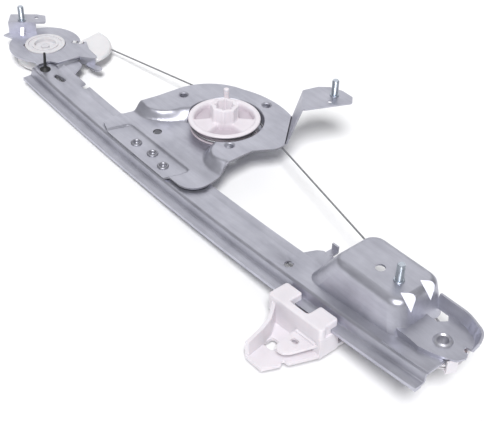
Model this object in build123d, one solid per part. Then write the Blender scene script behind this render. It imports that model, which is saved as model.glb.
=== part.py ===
from build123d import *
from math import asin, atan2, cos, degrees, hypot, radians, sin, sqrt, tan
import os

os.makedirs("parts", exist_ok=True)

# A cable-driven window regulator, in millimetres. The origin is on the drum axis, at the
# level of the seat that the motor bolts to. X runs along the rail from its upper end
# towards its lower end, Y runs away from the guide lip, and Z points up out of the studs.

# Sheet and rail
SHEET = 1.5                 # thickness of every stamping
RAIL_MID_X = 61.5           # middle of the rail's arc
RAIL_LENGTH = 479.0
RAIL_R = 2368.0             # radius of the web's top face, seen from the side
WEB_Z = -14.5               # web's top face at the middle of the rail
LIP_DROP = 7.5              # from the web's top face down to the lip's top face
ROOT_Y = -84.0              # where the riser leaves the lip
LIP_WIDTH = 8.1
HEM = 1.3                   # thickness of the folded-under part of the lip
RISER_LEAN = 2.0
WEB_WIDTH = 25.6
EDGE_STRIP = 6.6            # tilted stiffening strip along the web's back edge
EDGE_RISE = 1.2
SEAT_Z = 0.0                # top of the motor ring and of both pulley plates

# Cable and pulleys
CABLE_R = 0.75
CABLE_GAP = 0.3             # air round the cable in grooves and eyes
CABLE_DROP = 4.4            # from the web's top face down to the cable
CABLE_Y = -69.0             # the run under the web
RIVET_R = 5.0               # hollow rivet that the lower pulley turns on
DRUM_R = 28.0               # drum axis to the middle of the cable
UPPER = (-205.0, -52.0)     # pulley centres
LOWER = (290.6, -54.7)
UPPER_R = UPPER[1] - CABLE_Y
LOWER_R = LOWER[1] - CABLE_Y
UPPER_Z = -8.0              # height of the cable in each groove
LOWER_Z = -8.7
UPPER_RIM = 2.6             # how far each pulley stands out past the cable
LOWER_RIM = 1.4
UPPER_HALF = 3.0            # half of each pulley's width
LOWER_HALF = 1.7
LEAVE_RUN = (55.0, 32.6)    # where the cable leaves the rail's arc, short of each pulley
LAY_PITCH = 1.8
UPPER_TURNS = 0.38          # cable lying on the drum in the rest pose
LOWER_TURNS = 1.3
DRUM_A_Z = -2.4             # where the upper cable leaves the drum
UPPER_HEADING = 9.73        # slope of the upper cable's free run, in degrees
MOUTH = (-178.0, -2.1)      # where that cable bends inside the guide
LOWER_HEADING = degrees(atan2(LOWER[1], LOWER[0])) - degrees(asin((DRUM_R - LOWER_R) / hypot(*LOWER)))

# Drum and its plate
FLOOR_Z = -8.5              # top of the plate's lower level
RIM_STEP = 3.0              # from the middle of the cable out to the drum's rim
DRUM_RIM_R = DRUM_R + RIM_STEP
CUP_R = DRUM_RIM_R + 1.3
DRUM_TOP = 2.2
HUB_R = 11.0
HUB_TOP = 14.5
SPIGOT_R = 8.0
RUN_GAP = 0.25              # between faces that turn past one another
MOTOR_HOLES = [(-52.7, -3.4), (5.4, 43.4), (33.0, -21.4)]
MOTOR_HOLE_R = 3.4
CLINCHES = [(-30.5, -70.5), (-10.3, -68.6), (8.7, -71.9)]
RIVET_HEAD = 0.5            # flat heads under the web, which the carrier slides past

# Studs
STUD_R = 3.0
STUD_H = 14.4
STUD_FLANGE_R = 3.65
HEAD_STEP = 11.0            # height of the head bracket's platform
ARM_TOP = 28.0              # height of the arm's tab
BOX_TOP = 18.0
HEAD_STUD = (-241.6, -54.4)
ARM_STUD = (61.2, 68.3)
BOX_STUD = (244.7, -50.1)

# Carrier
CARRIER_X = 201.0           # where it stands in the rest pose
LIP_GAP = 0.3               # between the claws and the lip, all round
GLASS_GAP = 5.8             # pocket for the pane
BLOCK_LENGTH = 54.0
JOIN = 0.03                 # how far joined sheets are set off, so that no faces coincide

ARC_Z = WEB_Z + RAIL_R      # height of the centre that the rail curves about


def save(shape, node):
    export_step(shape, "parts/" + node + ".step")


def web_z(x, drop=0.0):
    """Height of the web's top face at x, or of a line that lies lower by drop."""
    return ARC_Z - sqrt((RAIL_R + drop) ** 2 - (x - RAIL_MID_X) ** 2)


def prism(outline, z0, z1, taper=0.0):
    """A flat outline extruded from z0 up to z1."""
    return extrude(Pos(0, 0, z0) * outline, amount=z1 - z0, taper=taper)


def patch(points, radius=0.0):
    """A closed outline with every corner rounded."""
    face = make_face(Polyline(*points, close=True))
    return fillet(face.vertices(), radius) if radius else face


def arc_slab(top_drop, bottom_drop, x0, x1, y0, y1):
    """The space between two lines that follow the rail's arc."""
    xm = (x0 + x1) / 2
    def at(x, drop):
        return (x, y1, web_z(x, drop))
    edges = [
        ThreePointArc(at(x0, top_drop), at(xm, top_drop), at(x1, top_drop)),
        Line(at(x1, top_drop), at(x1, bottom_drop)),
        ThreePointArc(at(x1, bottom_drop), at(xm, bottom_drop), at(x0, bottom_drop)),
        Line(at(x0, bottom_drop), at(x0, top_drop)),
    ]
    return extrude(make_face(edges), amount=y1 - y0, dir=(0, -1, 0))


def tube(path, radius):
    return sweep((path ^ 0) * Circle(radius), path=path)


def round_edges(solid, edges, radius):
    """Fillets what can be filleted, all at once or else edge by edge."""
    try:
        return fillet(edges, radius)
    except Exception:
        for edge in edges:
            try:
                solid = fillet(solid.edges().sort_by_distance(edge.center())[0], radius)
            except Exception:
                pass
    return solid


def on_rail(shape, x):
    """Takes a shape from the middle of the rail along its arc to x."""
    turn = degrees(asin((x - RAIL_MID_X) / RAIL_R))
    centre = Pos(RAIL_MID_X, 0, ARC_Z)
    return centre * Rot(0, -turn, 0) * centre.inverse() * shape


# Guide rail, one stamping

HALF_TURN = degrees(asin(RAIL_LENGTH / 2 / RAIL_R))
lip_z = WEB_Z - LIP_DROP
web_y = ROOT_Y + RISER_LEAN
back_y = web_y + WEB_WIDTH


def rail_section():
    """The rail's cross-section at the middle of its length, one bent strip with its hem."""
    top = FilletPolyline(
        (RAIL_MID_X, ROOT_Y - LIP_WIDTH, lip_z),
        (RAIL_MID_X, ROOT_Y, lip_z),
        (RAIL_MID_X, web_y, WEB_Z),
        (RAIL_MID_X, back_y - EDGE_STRIP, WEB_Z),
        (RAIL_MID_X, back_y, WEB_Z + EDGE_RISE),
        radius=[1.2, 2.7, 6.0],
    )
    under = FilletPolyline(
        (RAIL_MID_X, ROOT_Y - LIP_WIDTH, lip_z - SHEET),
        (RAIL_MID_X, ROOT_Y + 1.2, lip_z - SHEET),
        (RAIL_MID_X, web_y + 1.2, WEB_Z - SHEET),
        (RAIL_MID_X, back_y - EDGE_STRIP, WEB_Z - SHEET),
        (RAIL_MID_X, back_y, WEB_Z + EDGE_RISE - SHEET),
        radius=[2.7, 1.2, 6.0],
    )
    ends = [Line(top @ 0, under @ 0), Line(top @ 1, under @ 1)]
    strip = make_face([*top.edges(), *under.edges(), *ends])
    hem_points = [(-LIP_WIDTH, -SHEET), (-2.5, -SHEET), (-2.5, -SHEET - HEM), (-LIP_WIDTH, -SHEET - HEM)]
    hem = make_face(Polyline(*[(RAIL_MID_X, ROOT_Y + y, lip_z + z) for y, z in hem_points], close=True))
    return strip, hem


def rail_sweep(face):
    axis = Axis((RAIL_MID_X, 0, ARC_Z), (0, 1, 0))
    return revolve(face.rotate(axis, -HALF_TURN), axis, 2 * HALF_TURN)


strip, hem = rail_section()
rail = rail_sweep(strip) + rail_sweep(hem)

# the back edge's small notch, and the long slot and burred hole in the web
rail -= prism(patch([(-129, -61.6), (-124.2, -61.6), (-122.6, -60), (-122.6, -50), (-129, -50)]), -20, 0)
rail -= Pos(-150.2, -70.5, -10) * Rot(0, 0, 8) * extrude(SlotOverall(14, 5.6), amount=10)
rail -= Pos(162.6, -72.6, -20) * Cylinder(3.6, 30)

# Head: the pulley plate at the upper end, with its joggle down to the web
head_ring = Pos(*UPPER) * Circle(33.5)
head_body = patch([
    (-175.5, -77.2), (-190, -77), (-205, -60), (-244.5, -74), (-246, -66.7),
    (-228.3, -45.5), (-216.1, -32), (-205, -40), (-185, -18.6), (-172, -24.4), (-156.5, -26),
    (-154.5, -29), (-165.5, -38.5), (-168.5, -62),
    (-175.5, -66)])
head_plan = head_ring + head_body
head_plan -= Pos(-231, -77.4) * Circle(2.2)
head = prism(head_plan, SEAT_Z - SHEET, SEAT_Z)

# the joggle's slanting wall and the lower shelf beside it
joggle = loft([
    Pos(-168.2, -50, SEAT_Z - SHEET) * Rot(0, 0, 7) * Rectangle(2.2, 27),
    Pos(-165.6, -50, web_z(-165.6) - 0.2) * Rot(0, 0, 7) * Rectangle(2.2, 27)])
shelf = arc_slab(JOIN, SHEET + JOIN, -169, -150, -64, -41)
shelf &= prism(patch([(-171, -64), (-150, -64), (-150, -54), (-157, -42), (-166, -41)], 1.5), -12, 4)
web_end = arc_slab(JOIN, SHEET + JOIN, -176.5, -165, -81.5, -60)
web_end &= prism(patch([(-178, -75.5), (-173, -81.5), (-165, -81.5), (-165, -60), (-172, -60)], 1.0), -12, 4)
link = loft([
    Pos(-180.4, -69.5, SEAT_Z - SHEET / 2) * Rot(0, 90, 0) * Rectangle(SHEET, 14),
    Pos(-174.9, -69.5, web_z(-174.9) - SHEET / 2) * Rot(0, 90, 0) * Rectangle(SHEET, 14)])

# a down-turned flange with the tongue that locks the cable guide
flange_dir = degrees(atan2(-29 + 38.5, -154.5 + 165.5))
flange_len = hypot(11, 9.5)
flange = Pos(-160.0, -33.75, SEAT_Z - 4) * Rot(0, 0, flange_dir) * Box(flange_len, SHEET, 8)
tongue = Pos(-151.5, -32.5, SEAT_Z - 8) * Rot(0, 0, 8) * extrude(RectangleRounded(17, 7.5, 2.5), amount=SHEET)

head += [joggle, shelf, web_end, link, flange, tongue]

# the raised bracket for the upper stud
along = (0.606, 0.795)
out = (-0.795, 0.606)
base = (-245.0, -67.5)


def at_bracket(u, v):
    return (base[0] + u * along[0] + v * out[0], base[1] + u * along[1] + v * out[1])


wall = prism(patch([at_bracket(0, 0), at_bracket(26, 0), at_bracket(26, SHEET), at_bracket(0, SHEET)]),
             SEAT_Z - SHEET, SEAT_Z + HEAD_STEP)
platform_plan = patch([at_bracket(0, 0), at_bracket(34.5, 0), at_bracket(35.5, 3.5), at_bracket(34, 14),
                       at_bracket(25, 17), at_bracket(0, 17)], 1.6)
platform = prism(platform_plan, SEAT_Z + HEAD_STEP - SHEET, SEAT_Z + HEAD_STEP)
dart_profile = make_face(Polyline((0, 0, 0), (-6, 0, 0), (0, 0, 6), close=True))
dart = extrude(dart_profile, amount=1.6, both=True)
turn = degrees(atan2(-out[1], -out[0]))
bracket = wall + platform
bracket += Pos(*at_bracket(13, 0), SEAT_Z - 0.4) * Rot(0, 0, turn + 180) * dart
bracket -= Pos(*HEAD_STUD, 0) * Cylinder(STUD_R + 0.05, 60)
bracket -= Pos(*at_bracket(26, 10), 0) * Cylinder(2.2, 60)
bends = bracket.edges().filter_by(lambda e: abs(e.center().Z - SEAT_Z - HEAD_STEP) < 0.1
                                  and abs((e.center().X - base[0]) * out[0]
                                          + (e.center().Y - base[1]) * out[1]) < 0.1)
bracket = round_edges(bracket, bends, 1.2)

head -= Pos(*UPPER, 0) * Cylinder(19.2, 20)
head -= Pos(-214.9, -68.1, 0) * Cylinder(1.6, 20)
head -= Pos(-188.7, -25.8, 0) * Rot(0, 0, 40) * Box(12, 4.6, 20)
rail += [head, bracket]

# Lower end: box bump, pulley plate with its curled flange
foot = [(178.0, -74.5), (273.2, -74.5), (273.2, -24.0), (178.0, -24.0)]
top = [(200.2, -69.2), (261.4, -69.2), (261.4, -24.0), (200.2, -24.0)]


def bump(grow):
    """The box bump's outer form, or its inner one when grow is negative."""
    low = offset(make_face(Polyline(*foot, close=True)), grow)
    high = offset(make_face(Polyline(*top, close=True)), grow)
    body = loft([Pos(0, 0, -16) * low, Pos(0, 0, BOX_TOP + grow) * high])
    walls = body.edges().filter_by(lambda e: abs(e.bounding_box().size.Z) > 5)
    body = round_edges(body, walls, 11 + grow)
    rim = body.faces().sort_by(Axis.Z)[-1].edges()
    return round_edges(body, rim, 6 + grow)


def pinch(y, sink):
    """A V-shaped dent across the box's upper right edge, sunk by a distance for its inner side."""
    fall = 42.0
    valley = Plane(origin=(251.5, y, BOX_TOP + 2.0), x_dir=(0, 1, 0), z_dir=(cos(radians(fall)), 0, -sin(radians(fall))))
    vee = make_face(Polyline((-6, 7.5 - sink), (0, -sink), (12.5, 7.5 - sink), close=True))
    return extrude(valley * vee, amount=26)


outer = bump(0)
inner = bump(-SHEET)
for dart_y in (-58.5, -39.0):
    outer -= pinch(dart_y, 0)
    inner -= pinch(dart_y, 1.25 * SHEET)
above = arc_slab(-60, SHEET, 150, 312, -100, 0)
box = (outer - inner) & above
# the sheet's own edge is at the back, so the bump is open there below a short flange
box -= Pos(225, -22, -6) * Box(140, 8, 36)
ear = arc_slab(JOIN, SHEET + JOIN, 158, 206, -60, -20)
ear &= prism(patch([(157, -60), (160, -54.5), (164, -46), (168, -42.6), (178, -42.6), (190, -30),
                    (206, -30), (206, -60)], 2.0), -30, 10)
hook = prism(patch([(170, -44), (176, -44), (176, -35), (170, -35)], 1.0), web_z(173) - SHEET, web_z(173))
hook += Pos(173, -35.8, web_z(173) + 2.2) * Box(6, SHEET, 6)

front_line = [(262, -70.1), (275, -70.1), (283.5, -70.9), (291.9, -68.8), (298.2, -66.5), (304, -63.5)]
plate_plan = patch(front_line + [
    (307.9, -61.3), (310.3, -54.8), (308.6, -51), (304.2, -51.6), (303.4, -47.2), (309, -46.2),
    (308, -38), (300, -33.2), (290, -31.4), (276, -31.4), (281, -38), (276.5, -44), (262, -44)], 0.9)
plate = prism(plate_plan, SEAT_Z - SHEET, SEAT_Z)
curl = FilletPolyline((265, -32.2), (289, -32.2), (304.5, -37.8), (308.2, -46.4), radius=[26, 9])
curl_form = make_face(Polyline((-0.7, -1.4), (0.9, -1.4), (4.3, 8.2), (2.7, 8.2), close=True))
curl_wall = sweep(Plane(origin=(265, -32.2, SEAT_Z), x_dir=(0, 1, 0), z_dir=(1, 0, 0)) * curl_form,
                  path=Pos(0, 0, SEAT_Z) * curl)


def behind(shift):
    """The plate's front line, moved back by a distance."""
    return [(x, y + shift) for x, y in front_line]


front_strip = arc_slab(JOIN, SHEET + JOIN, 262, 302.2, -81.5, -62)
front_strip -= prism(patch(behind(SHEET) + [(312, -60), (262, -60)]), -20, 5)
step = prism(patch(behind(JOIN) + behind(SHEET - JOIN)[::-1]), -20, SEAT_Z - SHEET / 2)
step &= arc_slab(-60, SHEET / 2, 255, 300, -100, 0)
plate += [curl_wall, front_strip, step]

rail -= inner
rail -= prism(patch(behind(SHEET) + [(314, -62), (314, -16), (256, -16), (256, -68.6)]), -20, SEAT_Z - SHEET)
lower = box + ear + hook + plate
lower -= inner & Pos(225, -50, 0) * Box(110, 60, 60)
rail += lower
rail -= Pos(*LOWER, 0) * Cylinder(RIVET_R + 0.05, 30)
rail -= Pos(*BOX_STUD, BOX_TOP) * Cylinder(STUD_R + 0.05, 20)
rail -= Pos(228.2, -50.7, BOX_TOP) * Cylinder(3.8, 20)
rail -= Pos(-169.4, -73.8, 0) * Cylinder(2.45, 20)
for x, y in CLINCHES:
    rail -= Pos(x, y, WEB_Z) * Cylinder(2.55, 20)
save(rail, "guide_rail")

# Drum plate: lower level, motor ring, riveted strip and stud arm

outline = make_face([
    Line((-70.5, -76.5), (-57.5, -81)), Line((-57.5, -81), (22.5, -81.5)),
    Line((22.5, -81.5), (26.5, -78.5)), Line((26.5, -78.5), (38.5, -78.5)),
    ThreePointArc((38.5, -78.5), (49, -73), (53, -60)), Line((53, -60), (53, -50)),
    Line((53, -50), (50.5, -42)), Line((50.5, -42), (50.5, -12)), Line((50.5, -12), (58, 1)),
    ThreePointArc((58, 1), (61, 9), (59.6, 16.5)), Line((59.6, 16.5), (32.4, 48.4)),
    ThreePointArc((32.4, 48.4), (2, 51.6), (-27, 44)), ThreePointArc((-27, 44), (-53, 26.8), (-63.6, 1)),
    Line((-63.6, 1), (-65.2, -22)), Line((-65.2, -22), (-69, -46.7)), Line((-69, -46.7), (-73.5, -66)),
    Line((-73.5, -66), (-70.5, -76.5)),
])
floor_plan = patch([(-95, -49), (-50, -44.5), (-22, -20), (14.5, -32.5), (27, -45.5), (46, -48), (90, -48.5),
                    (90, -110), (-95, -110)], 5.0)
seat_edge = patch([(-95, -42), (-43.5, -38.5), (-34, -15), (21, -24.5), (26, -36.5), (50.5, -26), (90, -22),
                   (90, -109), (-95, -109)], 5.0)


def pressed(grow):
    """The space that the press pushed down, or the punch's outer side when grow is the sheet."""
    lift = -SHEET if grow else 0
    dish = loft([Pos(0, 0, FLOOR_Z + lift) * offset(floor_plan, grow * 0.55),
                 Pos(0, 0, SEAT_Z + 0.01) * offset(seat_edge, grow * 0.75)])
    cup = prism(Circle(CUP_R + grow), FLOOR_Z + lift, SEAT_Z + 0.01, taper=-14)
    return dish + cup


plate_body = (prism(outline, SEAT_Z - SHEET, SEAT_Z) + pressed(SHEET)) - pressed(0)
plate_body &= prism(outline, -30, 5)
plate_body -= Pos(0, 0, 5.01) * Box(400, 400, 10)

# the riveted strip lies on the web and follows its arc
pad = patch([(-58, -95), (-53, -60.5), (28.5, -60.5), (28.5, -95)], 2.0)
pad_grown = patch([(-59.5, -95), (-54.5, -59), (30, -59), (30, -95)], 3.0)
pad_block = prism(pad_grown, -17, FLOOR_Z - 0.05) & prism(outline, -30, 5)
plate_body += pad_block
plate_body -= prism(pad, -30, 0) & arc_slab(-30, -SHEET, -80, 60, -110, -50)
plate_body -= arc_slab(0, 10, -90, 80, -110, -40)
edge_room = [(back_y - EDGE_STRIP - 1.2, 0.0), (back_y - EDGE_STRIP, 0.12), (back_y + 0.5, EDGE_RISE + 0.3),
             (back_y + 0.5, -4.0), (back_y - EDGE_STRIP - 1.2, -4.0)]
plate_body -= rail_sweep(make_face(Polyline(*[(RAIL_MID_X, y, WEB_Z + z) for y, z in edge_room], close=True)))

plate_body -= Cylinder(SPIGOT_R + 0.06, 40)
for x, y in MOTOR_HOLES:
    plate_body += Pos(x, y, SEAT_Z - 2.6) * Cylinder(MOTOR_HOLE_R + 1.3, 3.6)
    plate_body -= Pos(x, y, 0) * Cylinder(MOTOR_HOLE_R, 12)
plate_body -= Pos(-29.9, -48.9, FLOOR_Z) * Cylinder(3.9, 6)
for x, y in CLINCHES:
    plate_body -= Pos(x, y, WEB_Z) * Cylinder(2.55, 20)
# slots in the cup's wall for the two cables
plate_body -= Rot(0, 0, UPPER_HEADING) * Pos(-30, DRUM_R - 2, -4.2) * Box(34, 9, 5.2)
plate_body -= Rot(0, 0, LOWER_HEADING) * Pos(30, DRUM_R - 1, -5.4) * Box(34, 9, 4.6)

# stud arm
low_a, low_b = (59.0, 16.9), (32.0, 48.6)
high_a, high_b = (61.0, 30.8), (39.3, 52.5)
lean = ((high_a[0] - low_a[0]), (high_a[1] - low_a[1]))


def slat(p, q, thick=SHEET):
    """A thin plate's section between two points, thickened away from the drum."""
    length = hypot(q[0] - p[0], q[1] - p[1])
    nx, ny = (q[1] - p[1]) / length * thick, -(q[0] - p[0]) / length * thick
    return make_face(Polyline(p, q, (q[0] + nx, q[1] + ny), (p[0] + nx, p[1] + ny), close=True))


arm = loft([Pos(0, 0, SEAT_Z - SHEET) * slat(low_a, low_b), Pos(0, 0, ARM_TOP) * slat(high_a, high_b)])
tab_plan = patch([high_a, (79, 71.5), (73, 78), (60.8, 78.5), (49.7, 74.4), (43.1, 66.6), high_b], 2.5)
tab = prism(tab_plan, ARM_TOP - SHEET, ARM_TOP)
tab -= Pos(*ARM_STUD, ARM_TOP) * Cylinder(STUD_R + 0.05, 10)
tab -= Pos(66.1, 58.3, ARM_TOP) * Cylinder(2.0, 10)
plate_body += arm + tab
save(plate_body, "drum_plate")

# Riveted joints between the plate and the rail

for n, (x, y) in enumerate(CLINCHES, start=1):
    z = web_z(x)
    button = Cylinder(4.9, 1.1, align=(Align.CENTER, Align.CENTER, Align.MIN))
    button = fillet(button.edges().group_by(Axis.Z)[-1], 0.8) - Pos(0, 0, 0.5) * Cylinder(3.2, 4, align=(
        Align.CENTER, Align.CENTER, Align.MIN))
    rivet = Pos(0, 0, SHEET + 0.01) * button
    rivet += Pos(0, 0, -SHEET) * Cylinder(2.5, 2 * SHEET + 0.6, align=(Align.CENTER, Align.CENTER, Align.MIN))
    rivet += Pos(0, 0, -SHEET - RIVET_HEAD) * Cylinder(3.8, RIVET_HEAD, align=(
        Align.CENTER, Align.CENTER, Align.MIN))
    lean_angle = -degrees(asin((x - RAIL_MID_X) / RAIL_R))
    save(Pos(x, y, z) * Rot(0, lean_angle, 0) * rivet, "clinch_rivet_%d" % n)

# Weld studs


def stud():
    """A stud whose flange sits under a sheet with its top at zero."""
    body = Cylinder(STUD_R, STUD_H + SHEET, align=(Align.CENTER, Align.CENTER, Align.MIN))
    body = chamfer(body.edges().group_by(Axis.Z)[-1], 0.8)
    body = Pos(0, 0, -SHEET) * body
    body += Pos(0, 0, -SHEET - 1.4) * Cylinder(STUD_FLANGE_R, 1.4, align=(Align.CENTER, Align.CENTER, Align.MIN))
    body += Cylinder(STUD_R + 1.0, 1.0, align=(Align.CENTER, Align.CENTER, Align.MIN))
    return body


save(Pos(*HEAD_STUD, SEAT_Z + HEAD_STEP) * stud(), "stud_upper")
save(Pos(*ARM_STUD, ARM_TOP) * stud(), "stud_arm")
save(Pos(*BOX_STUD, BOX_TOP) * stud(), "stud_lower")

# Cable path, in three dimensions


def rim_point(centre, radius, heading, side, z):
    """Where a wheel is touched by a line at a heading in degrees; side is 1 when it turns left."""
    h = radians(heading)
    return (centre[0] + side * radius * sin(h), centre[1] - side * radius * cos(h), z)


def rim_turn(centre, radius, heading_a, heading_b, side, z):
    """The arc that a cable makes round a wheel between two headings."""
    headings = (heading_a, (heading_a + heading_b) / 2, heading_b)
    return ThreePointArc(*[rim_point(centre, radius, h, side, z) for h in headings])


def heading_past(point, centre, radius, side):
    """Heading of the line from a point that just touches a circle."""
    dx, dy = centre[0] - point[0], centre[1] - point[1]
    return degrees(atan2(dy, dx)) + side * degrees(asin(radius / hypot(dx, dy)))


def cable_point(x):
    return (x, CABLE_Y, web_z(x, CABLE_DROP))


def slope_at(x):
    return (x - RAIL_MID_X) / (RAIL_R + CABLE_DROP)


def level_with(x, z):
    """Where the cable's arc, carried on straight from x, reaches the height z."""
    px, _, pz = cable_point(x)
    return px + (z - pz) / slope_at(x)


start_a = rim_point((0, 0), DRUM_R, 180 + UPPER_HEADING, 1, DRUM_A_Z)
into_upper = heading_past(MOUTH, UPPER, UPPER_R, -1) % 360
leaves_upper = UPPER[0] + LEAVE_RUN[0]
upper_turn = rim_turn(UPPER, UPPER_R, into_upper, 360, 1, UPPER_Z)
guided = FilletPolyline(start_a, (*MOUTH, UPPER_Z), upper_turn @ 0, radius=26)
upper_foot = FilletPolyline(
    upper_turn @ 1, (level_with(leaves_upper, UPPER_Z), CABLE_Y, UPPER_Z), cable_point(leaves_upper), radius=120)
upper_path = Wire([*guided.edges(), upper_turn.edge(), *upper_foot.edges()])
upper_arc = ThreePointArc(cable_point(leaves_upper), cable_point(25), cable_point(CARRIER_X))

DRUM_B_Z = DRUM_A_Z - LAY_PITCH * (1 + (LOWER_HEADING - UPPER_HEADING) / 360)
start_b = rim_point((0, 0), DRUM_R, LOWER_HEADING, -1, DRUM_B_Z)
lower_turn = rim_turn(LOWER, LOWER_R, LOWER_HEADING, -180, -1, LOWER_Z)
leaves_lower = LOWER[0] - LEAVE_RUN[1]
lower_foot = FilletPolyline(
    lower_turn @ 1, (level_with(leaves_lower, LOWER_Z), CABLE_Y, LOWER_Z), cable_point(leaves_lower), radius=60)
lower_path = Wire([Line(start_b, lower_turn @ 0).edge(), lower_turn.edge(), *lower_foot.edges()])
lower_arc = ThreePointArc(cable_point(leaves_lower), cable_point(230), cable_point(CARRIER_X + 0.1))


def winding(exit_angle, z, turns, up):
    """The cable's left-handed lay on the drum, from where its free run leaves."""
    coil = Helix(LAY_PITCH, LAY_PITCH * turns, DRUM_R, direction=(0, 0, 1 if up else -1), lefthand=True)
    return Pos(0, 0, z) * Rot(0, 0, exit_angle if up else exit_angle - 180) * coil


upper_winding = winding(90 + UPPER_HEADING, DRUM_A_Z, UPPER_TURNS, True)
lower_winding = winding(90 + LOWER_HEADING, DRUM_B_Z, LOWER_TURNS, False)

# Drum


drum_low = FLOOR_Z + RUN_GAP
barrel_r = DRUM_R - CABLE_R - CABLE_GAP
half = make_face(Polyline(
    (0, 0, drum_low), (DRUM_RIM_R - 1, 0, drum_low), (DRUM_RIM_R, 0, drum_low + 0.6), (barrel_r, 0, drum_low + 0.8),
    (barrel_r, 0, 0.6), (DRUM_RIM_R, 0, 0.8), (DRUM_RIM_R, 0, DRUM_TOP - 0.8), (DRUM_RIM_R - 0.8, 0, DRUM_TOP),
    (26.5, 0, DRUM_TOP), (25.5, 0, DRUM_TOP - 1.2), (0, 0, DRUM_TOP - 1.2), close=True))
drum = revolve(half, Axis.Z)
hub = Cylinder(HUB_R, HUB_TOP - DRUM_TOP + 2, align=(Align.CENTER, Align.CENTER, Align.MIN))
for n in range(8):
    hub += Rot(0, 0, 45 * n) * Pos(HUB_R - 0.4, 0, 0) * Cylinder(
        2.2, HUB_TOP - DRUM_TOP + 2, align=(Align.CENTER, Align.CENTER, Align.MIN))
drum += Pos(0, 0, DRUM_TOP - 2) * hub
for n in range(4):
    rib = make_face(Polyline((9, 0, 0), (24, 0, 0), (24, 0, 2.0), (12, 0, 8.5), (9, 0, 8.5), close=True))
    drum += Rot(0, 0, 90 * n) * Pos(0, 0, DRUM_TOP - 1.4) * extrude(rib, amount=1.1, both=True)
socket = Circle(7.0)
for n in range(8):
    socket += Rot(0, 0, 45 * n) * Pos(7.0, 0) * Circle(1.5)
drum -= Pos(0, 0, HUB_TOP - 11) * extrude(socket, amount=20)
drum -= Pos(8.5, -26.5, DRUM_TOP - 2.2) * Cylinder(2.6, 5, align=(Align.CENTER, Align.CENTER, Align.MIN))
notch = Rot(0, 0, 90 + UPPER_HEADING - 360 * UPPER_TURNS) * Pos(DRUM_R + 1, 0, 3)
drum -= notch * Box(8, 5.2, 7.5)
drum += Pos(0, 0, drum_low - 3.2) * Cylinder(SPIGOT_R, 3.4, align=(Align.CENTER, Align.CENTER, Align.MIN))
PEG = (-17.9, 16.8)
drum -= Pos(*PEG, DRUM_TOP - 4) * Cylinder(1.6, 8, align=(Align.CENTER, Align.CENTER, Align.MIN))
save(drum, "cable_drum")

peg = Pos(0, 0, -4) * Cylinder(1.6, 6, align=(Align.CENTER, Align.CENTER, Align.MIN))
peg += Pos(0, 0, 0.02) * Cone(3.4, 2.4, 4, align=(Align.CENTER, Align.CENTER, Align.MIN))
peg += Pos(0, 0, 3.9) * Cylinder(2.4, 9.3, align=(Align.CENTER, Align.CENTER, Align.MIN))
peg = fillet(peg.edges().group_by(Axis.Z)[-1], 0.8)
save(Pos(*PEG, DRUM_TOP) * peg, "drum_peg")

# Pulleys and what holds them


def pulley(groove_r, bore_r, hub_r, hub_rise, half_width, rim):
    """A grooved wheel about its own axis, with the cable's middle at zero height."""
    body = make_face(Polyline(
        (bore_r, 0, -half_width), (groove_r + rim - 0.8, 0, -half_width), (groove_r + rim, 0, -half_width + 0.8),
        (groove_r + rim, 0, half_width - 0.8), (groove_r + rim - 0.8, 0, half_width), (hub_r, 0, half_width),
        (hub_r, 0, half_width + hub_rise), (bore_r, 0, half_width + hub_rise), close=True))
    wheel = revolve(body, Axis.Z)
    floor_r = groove_r - CABLE_R - CABLE_GAP
    vee = make_face(Polyline(
        (floor_r + 1.4, 0, -1.05), (groove_r + rim + 1, 0, -0.68 * half_width),
        (groove_r + rim + 1, 0, 0.68 * half_width),
        (floor_r + 1.4, 0, 1.05), close=True))
    wheel -= revolve(vee, Axis.Z)
    wheel -= Torus(groove_r, CABLE_R + CABLE_GAP)
    return wheel


PIN_R = 4.0
upper_rise = SEAT_Z + 0.8 - (UPPER_Z + UPPER_HALF)
upper = pulley(UPPER_R, PIN_R + 0.06, UPPER_R + 1.7, upper_rise, UPPER_HALF, UPPER_RIM)
face_z = SEAT_Z + 0.8 - UPPER_Z
upper -= Pos(0, 0, face_z) * Cylinder(10.0, 7.0)
ring_cut = Circle(15.8) - Circle(12.4)
upper -= Pos(0, 0, face_z - 1.2) * extrude(ring_cut, amount=3)
save(Pos(*UPPER, UPPER_Z) * upper, "upper_pulley")

lower_rise = (SEAT_Z - SHEET - RUN_GAP) - (LOWER_Z + LOWER_HALF)
lower_wheel = pulley(LOWER_R, RIVET_R + 0.06, 8.6, lower_rise, LOWER_HALF, LOWER_RIM)
save(Pos(*LOWER, LOWER_Z) * lower_wheel, "lower_pulley")

cover_top = LOWER_Z - LOWER_HALF - RUN_GAP
COVER_T = 1.5
lug_r = LOWER_R + LOWER_RIM + 1.3
disc = Circle(LOWER_R - 0.6)
for turn_deg in (-27, 50):
    disc += Rot(0, 0, turn_deg) * Pos(lug_r / 2, 0) * Rectangle(lug_r + 1.6, 8)
cover = Pos(0, 0, cover_top - COVER_T) * extrude(disc, amount=COVER_T)
cover = round_edges(cover, cover.edges().group_by(Axis.Z)[0], 0.5)
for turn_deg in (-27, 50):
    lug = Pos(lug_r, 0, cover_top - COVER_T / 2) * Box(
        1.5, 7.4, (SEAT_Z - SHEET - 0.05) - cover_top + COVER_T / 2, align=(Align.CENTER, Align.CENTER, Align.MIN))
    cover += Rot(0, 0, turn_deg) * lug
cover -= Cylinder(RIVET_R + 0.05, 60)
save(Pos(*LOWER, 0) * cover, "lower_pulley_cover")

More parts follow.
